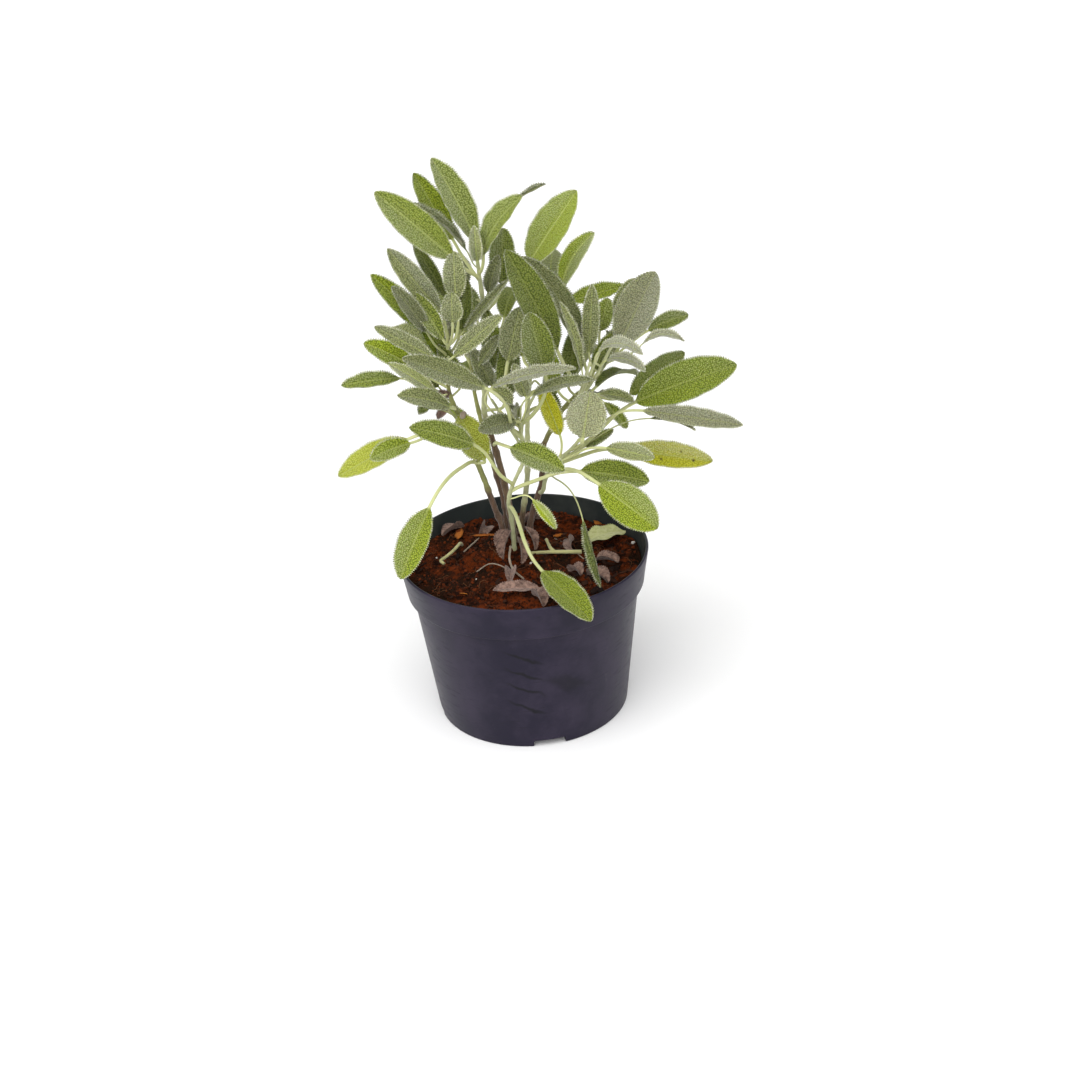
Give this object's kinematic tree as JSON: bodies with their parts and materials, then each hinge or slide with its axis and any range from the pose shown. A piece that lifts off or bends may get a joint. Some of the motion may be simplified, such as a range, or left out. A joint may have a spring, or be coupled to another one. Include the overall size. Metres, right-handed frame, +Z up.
{
  "type": "potted herb",
  "caption": "Young potted sage: several stems with hairy lance-shaped leaves, growing in soil in a round tapered nursery pot with a collar and drainage gaps.",
  "frame": {"origin": "centre of the pot's underside, on the ground", "axes": "+Z up along the pot's axis, -Y to the front, +X to the right"},
  "size_m": [0.244, 0.2, 0.346],
  "materials": {
    "pot_plastic": "satin moulded plastic",
    "potting_soil": "coarse crumbly potting mix",
    "woody_stem": "dull young bark",
    "green_stem": "finely hairy green stem",
    "leaf_bright": "pebbled, finely hairy leaf",
    "leaf_green": "pebbled, finely hairy leaf",
    "leaf_grey": "pebbled, felted leaf",
    "leaf_silver": "densely felted leaf",
    "leaf_yellow": "pebbled ageing leaf",
    "dead_leaf": "dry curled leaf",
    "pale_litter": "fallen leaf and cut twig"
  },
  "bodies": {
    "root": {"pot": "pot_plastic", "soil": "potting_soil", "tall_stem": "green_stem", "left_stem": "woody_stem", "front_stem": "green_stem", "right_stem": "woody_stem", "centre_stem": "green_stem", "back_stem": "woody_stem", "low_right_stem": "green_stem", "tall_leaf_1": "leaf_green", "tall_leaf_2": "leaf_bright", "tall_leaf_3": "leaf_green", "tall_leaf_4": "leaf_green", "tall_leaf_5": "leaf_green", "centre_leaf_1": "leaf_green", "centre_leaf_2": "leaf_green", "centre_leaf_3": "leaf_bright", "centre_leaf_4": "leaf_green", "centre_leaf_5": "leaf_green", "right_leaf_1": "leaf_green", "right_leaf_2": "leaf_grey", "right_leaf_3": "leaf_grey", "right_leaf_4": "leaf_bright", "right_leaf_5": "leaf_silver", "right_leaf_6": "leaf_green", "right_leaf_7": "leaf_silver", "right_leaf_8": "leaf_silver", "right_leaf_9": "leaf_bright", "right_leaf_10": "leaf_green", "low_leaf_1": "leaf_bright", "low_leaf_2": "leaf_silver", "low_leaf_3": "leaf_silver", "low_leaf_4": "leaf_grey", "low_leaf_5": "leaf_yellow", "low_leaf_6": "leaf_bright", "low_leaf_7": "leaf_green", "low_leaf_8": "leaf_green", "front_leaf_1": "leaf_silver", "front_leaf_2": "leaf_green", "front_leaf_3": "leaf_grey", "front_leaf_4": "leaf_grey", "front_leaf_5": "leaf_green", "front_leaf_6": "leaf_green", "front_leaf_7": "leaf_bright", "left_leaf_1": "leaf_grey", "left_leaf_2": "leaf_grey", "left_leaf_3": "leaf_bright", "left_leaf_4": "leaf_grey", "left_leaf_5": "leaf_bright", "left_leaf_6": "leaf_green", "left_leaf_7": "leaf_grey", "left_leaf_8": "leaf_bright", "left_leaf_9": "leaf_bright", "left_leaf_10": "leaf_grey", "left_leaf_11": "leaf_grey", "back_leaf_1": "leaf_green", "back_leaf_2": "leaf_grey", "fallen_leaf": "pale_litter", "dried_leaf": "dead_leaf", "twig": "pale_litter"}
  },
  "joints": []
}
